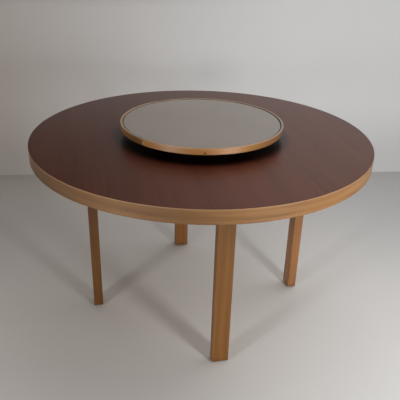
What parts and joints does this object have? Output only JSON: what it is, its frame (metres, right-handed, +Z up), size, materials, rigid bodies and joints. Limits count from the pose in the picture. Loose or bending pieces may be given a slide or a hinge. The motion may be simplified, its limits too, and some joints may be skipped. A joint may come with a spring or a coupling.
{
  "type": "dining table",
  "caption": "Round dining table on bent wooden legs, with a raised turntable that spins freely on a ball ring at the middle of its veneered top.",
  "frame": {"origin": "on the floor under the middle of the round top", "axes": "+Z up; the legs stand on the diagonals between X and Y, and -Y is the front"},
  "size_m": [1.25, 1.25, 0.773],
  "materials": {
    "face_veneer": "brown-red straight-grained veneer, satin lacquer",
    "honey_wood": "honey-coloured fine-grained wood, satin lacquer",
    "knee_veneer": "thin veneer strips glued into the knee",
    "backing": "pale backing veneer, thin lacquer",
    "blockboard": "pale glued blockboard",
    "dark_base": "dark stained wood, satin",
    "pane": "clear glass with an opaque warm-grey back",
    "felt": "dark felt",
    "pad_rubber": "black rubber",
    "ring_metal": "turned aluminium",
    "ball_steel": "polished steel",
    "cage_plastic": "off-white plastic",
    "screw_steel": "plain steel",
    "rim_screw_brass": "darkened brass",
    "glide_plastic": "dark brown plastic"
  },
  "bodies": {
    "table": {"top_core": "blockboard", "top_veneer": "face_veneer", "backing_veneer": "backing", "edge_band": "honey_wood", "leg_back_right": "honey_wood", "leg_back_left": "honey_wood", "leg_front_left": "honey_wood", "leg_front_right": "honey_wood", "knee_veneers_back_right": "knee_veneer", "knee_veneers_back_left": "knee_veneer", "knee_veneers_front_left": "knee_veneer", "knee_veneers_front_right": "knee_veneer", "leg_screws": "screw_steel", "foot_glides": "glide_plastic", "turntable_base": "dark_base", "base_pads": "pad_rubber", "bearing_outer_ring": "ring_metal", "outer_ring_screws": "screw_steel"},
    "turntable": {"turntable_panel": "dark_base", "turntable_rim": "honey_wood", "turntable_pane": "pane", "pane_pads": "felt", "rim_screws": "rim_screw_brass", "bearing_inner_ring": "ring_metal", "inner_ring_screws": "screw_steel"},
    "ball_train": {"bearing_balls": "ball_steel", "ball_cage": "cage_plastic"}
  },
  "joints": [
    {"name": "turntable_spin", "type": "hinge", "parent": "table", "child": "turntable", "pos_m": [0, 0, 0.745], "axis": [0, 0, 1], "continuous": true},
    {"name": "ball_train_spin", "type": "hinge", "parent": "table", "child": "ball_train", "pos_m": [0, 0, 0.745], "axis": [0, 0, 1], "continuous": true}
  ],
  "couplings": [
    {"joint": "ball_train_spin", "follows": "turntable_spin", "ratio": 0.48077}
  ]
}
